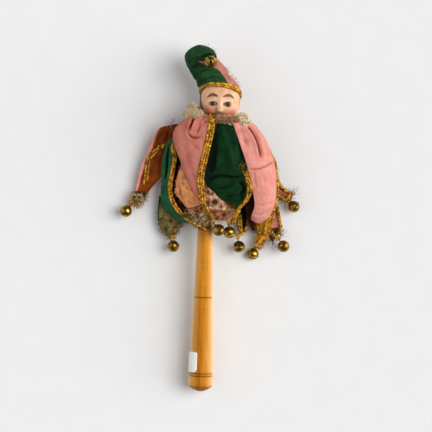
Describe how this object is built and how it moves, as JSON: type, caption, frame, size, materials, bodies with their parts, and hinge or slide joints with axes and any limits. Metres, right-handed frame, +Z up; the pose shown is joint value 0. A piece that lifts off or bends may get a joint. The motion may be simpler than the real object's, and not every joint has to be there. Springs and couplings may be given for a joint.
{
  "type": "marotte rattle",
  "caption": "Jester's marotte rattle: a painted doll's head in a stuffed, belled cap above a collar of belled cloth petals, on a turned wooden handle that shakes them.",
  "frame": {"origin": "on the surface that the toy lies on, under the middle of its box", "axes": "+Y along the toy towards the head, +Z up out of its face, +X to the right of someone who looks down at its face"},
  "size_m": [0.171, 0.3292, 0.0647],
  "materials": {
    "turned_wood": "golden-brown turned wood, worn satin polish",
    "core_wood": "plain turned wood, unpolished",
    "label_paper": "blank white paper sticker, matt",
    "painted_skin": "painted flesh tone with rosy cheeks, satin",
    "eye_glass": "dark glass with a pale iris",
    "cream_lace": "cream lace frill, matt",
    "neck_tape": "woven tape",
    "green_cloth": "dark green cloth, peach lining",
    "pink_cloth": "faded pink cloth, peach lining",
    "wadding": "cotton wadding",
    "gold_braid": "tarnished gold metal-thread braid",
    "bell_brass": "tarnished brass",
    "pellet_iron": "plain iron"
  },
  "bodies": {
    "root": {"handle": "turned_wood", "paper_label": "label_paper", "torso": "core_wood", "neck_dowel": "core_wood", "head": "painted_skin", "eye_left": "eye_glass", "eye_right": "eye_glass", "neck_ruff": "cream_lace", "neck_band": "neck_tape", "cap_green_half": "green_cloth", "cap_pink_half": "pink_cloth", "cap_wadding": "wadding", "cap_band": "gold_braid", "cap_bell_thread": "gold_braid"},
    "petal_front": {"petal_front": "green_cloth", "braid_front": "gold_braid"},
    "petal_front_left": {"petal_front_left": "pink_cloth", "braid_front_left": "gold_braid"},
    "petal_left": {"petal_left": "green_cloth", "braid_left": "gold_braid"},
    "petal_back_left": {"petal_back_left": "pink_cloth", "braid_back_left": "gold_braid"},
    "petal_back": {"petal_back": "green_cloth", "braid_back": "gold_braid"},
    "petal_back_right": {"petal_back_right": "pink_cloth", "braid_back_right": "gold_braid"},
    "petal_right": {"petal_right": "green_cloth", "braid_right": "gold_braid"},
    "petal_front_right": {"petal_front_right": "pink_cloth", "braid_front_right": "gold_braid"},
    "bell_front": {"bell_front_crown": "bell_brass", "bell_front_cup": "bell_brass"},
    "pellet_front": {"bell_front_pellet": "pellet_iron"},
    "bell_front_left": {"bell_front_left_crown": "bell_brass", "bell_front_left_cup": "bell_brass"},
    "pellet_front_left": {"bell_front_left_pellet": "pellet_iron"},
    "bell_left": {"bell_left_crown": "bell_brass", "bell_left_cup": "bell_brass"},
    "pellet_left": {"bell_left_pellet": "pellet_iron"},
    "bell_back_left": {"bell_back_left_crown": "bell_brass", "bell_back_left_cup": "bell_brass"},
    "pellet_back_left": {"bell_back_left_pellet": "pellet_iron"},
    "bell_back": {"bell_back_crown": "bell_brass", "bell_back_cup": "bell_brass"},
    "pellet_back": {"bell_back_pellet": "pellet_iron"},
    "bell_back_right": {"bell_back_right_crown": "bell_brass", "bell_back_right_cup": "bell_brass"},
    "pellet_back_right": {"bell_back_right_pellet": "pellet_iron"},
    "bell_right": {"bell_right_crown": "bell_brass", "bell_right_cup": "bell_brass"},
    "pellet_right": {"bell_right_pellet": "pellet_iron"},
    "bell_front_right": {"bell_front_right_crown": "bell_brass", "bell_front_right_cup": "bell_brass"},
    "pellet_front_right": {"bell_front_right_pellet": "pellet_iron"},
    "bell_cap": {"bell_cap_crown": "bell_brass", "bell_cap_cup": "bell_brass"},
    "pellet_cap": {"bell_cap_pellet": "pellet_iron"}
  },
  "joints": [
    {"name": "petal_front_lift", "type": "hinge", "parent": "root", "child": "petal_front", "pos_m": [0.00596, 0.08829, 0.04475], "axis": [-0.9798, 0.0881, 0.1797], "range_deg": [0, 14]},
    {"name": "petal_front_left_lift", "type": "hinge", "parent": "root", "child": "petal_front_left", "pos_m": [-0.0034, 0.08937, 0.04273], "axis": [-0.815, 0.1197, -0.567], "range_deg": [0, 11]},
    {"name": "petal_left_lift", "type": "hinge", "parent": "root", "child": "petal_left", "pos_m": [-0.00856, 0.09042, 0.03465], "axis": [-0.1728, 0.0812, -0.9816], "range_deg": [0, 14]},
    {"name": "petal_back_left_lift", "type": "hinge", "parent": "root", "child": "petal_back_left", "pos_m": [-0.00648, 0.09082, 0.02524], "axis": [0.5706, -0.0049, -0.8212], "range_deg": [0, 14]},
    {"name": "petal_back_lift", "type": "hinge", "parent": "root", "child": "petal_back", "pos_m": [0.00161, 0.09034, 0.02002], "axis": [0.9798, -0.0881, -0.1797], "range_deg": [0, 14]},
    {"name": "petal_back_right_lift", "type": "hinge", "parent": "root", "child": "petal_back_right", "pos_m": [0.01098, 0.08925, 0.02204], "axis": [0.815, -0.1197, 0.567], "range_deg": [0, 14]},
    {"name": "petal_right_lift", "type": "hinge", "parent": "root", "child": "petal_right", "pos_m": [0.01613, 0.0882, 0.03012], "axis": [0.1728, -0.0812, 0.9816], "range_deg": [0, 14]},
    {"name": "petal_front_right_lift", "type": "hinge", "parent": "root", "child": "petal_front_right", "pos_m": [0.01405, 0.0878, 0.03953], "axis": [-0.5706, 0.0049, 0.8212], "range_deg": [0, 10]},
    {"name": "bell_front_swing", "type": "hinge", "parent": "petal_front", "child": "bell_front", "pos_m": [0.01906, -0.00637, 0.02514], "axis": [0.9994, 0.0087, -0.0344], "range_deg": [-30, 30]},
    {"name": "bell_front_left_swing", "type": "hinge", "parent": "petal_front_left", "child": "bell_front_left", "pos_m": [0.0043, -0.00473, 0.03949], "axis": [0.7746, 0.5466, 0.318], "range_deg": [-30, 30]},
    {"name": "bell_left_swing", "type": "hinge", "parent": "petal_left", "child": "bell_left", "pos_m": [-0.03525, -0.02023, 0.01405], "axis": [0.4993, -0.1093, 0.8595], "range_deg": [-30, 30]},
    {"name": "bell_back_left_swing", "type": "hinge", "parent": "petal_back_left", "child": "bell_back_left", "pos_m": [-0.0757, 0.01081, 0.01153], "axis": [-0.7841, 0.5483, 0.2908], "range_deg": [-30, 30]},
    {"name": "bell_back_swing", "type": "hinge", "parent": "petal_back", "child": "bell_back", "pos_m": [0.0276, -0.01861, 0.01209], "axis": [-0.9892, -0.1465, -0.0095], "range_deg": [-30, 30]},
    {"name": "bell_back_right_swing", "type": "hinge", "parent": "petal_back_right", "child": "bell_back_right", "pos_m": [0.06695, -0.01817, 0.01186], "axis": [-0.7978, -0.576, -0.1783], "range_deg": [-30, 30]},
    {"name": "bell_right_swing", "type": "hinge", "parent": "petal_right", "child": "bell_right", "pos_m": [0.07519, 0.01941, 0.01133], "axis": [-0.7666, -0.5412, -0.3455], "range_deg": [-30, 30]},
    {"name": "bell_front_right_swing", "type": "hinge", "parent": "petal_front_right", "child": "bell_front_right", "pos_m": [0.04408, -0.02637, 0.0094], "axis": [0.9124, -0.0232, -0.4086], "range_deg": [-30, 30]},
    {"name": "bell_cap_swing", "type": "hinge", "parent": "root", "child": "bell_cap", "pos_m": [-0.00135, 0.15201, 0.05371], "axis": [0.3021, 0.6539, 0.6937], "range_deg": [-30, 30]},
    {"name": "pellet_front_slide", "type": "slide", "parent": "bell_front", "child": "pellet_front", "axis": [0.0124, 0.8218, 0.5696], "range_m": [0, 0.0062]},
    {"name": "pellet_front_left_slide", "type": "slide", "parent": "bell_front_left", "child": "pellet_front_left", "axis": [-0.609, 0.7803, 0.1422], "range_m": [0, 0.0062]},
    {"name": "pellet_left_slide", "type": "slide", "parent": "bell_left", "child": "pellet_left", "axis": [-0.181, 0.957, 0.2268], "range_m": [0, 0.0062]},
    {"name": "pellet_back_left_slide", "type": "slide", "parent": "bell_back_left", "child": "pellet_back_left", "axis": [0.5766, 0.8169, 0.0141], "range_m": [0, 0.0062]},
    {"name": "pellet_back_slide", "type": "slide", "parent": "bell_back", "child": "pellet_back", "axis": [-0.1436, 0.9789, -0.1455], "range_m": [0, 0.0062]},
    {"name": "pellet_back_right_slide", "type": "slide", "parent": "bell_back_right", "child": "pellet_back_right", "axis": [-0.5716, 0.8166, -0.0805], "range_m": [0, 0.0062]},
    {"name": "pellet_right_slide", "type": "slide", "parent": "bell_right", "child": "pellet_right", "axis": [-0.6295, 0.7396, 0.2383], "range_m": [0, 0.0062]},
    {"name": "pellet_front_right_slide", "type": "slide", "parent": "bell_front_right", "child": "pellet_front_right", "axis": [0.2511, 0.82, 0.5143], "range_m": [0, 0.0062]},
    {"name": "pellet_cap_slide", "type": "slide", "parent": "bell_cap", "child": "pellet_cap", "axis": [0.2583, 0.6443, -0.7198], "range_m": [0, 0.0062]}
  ]
}
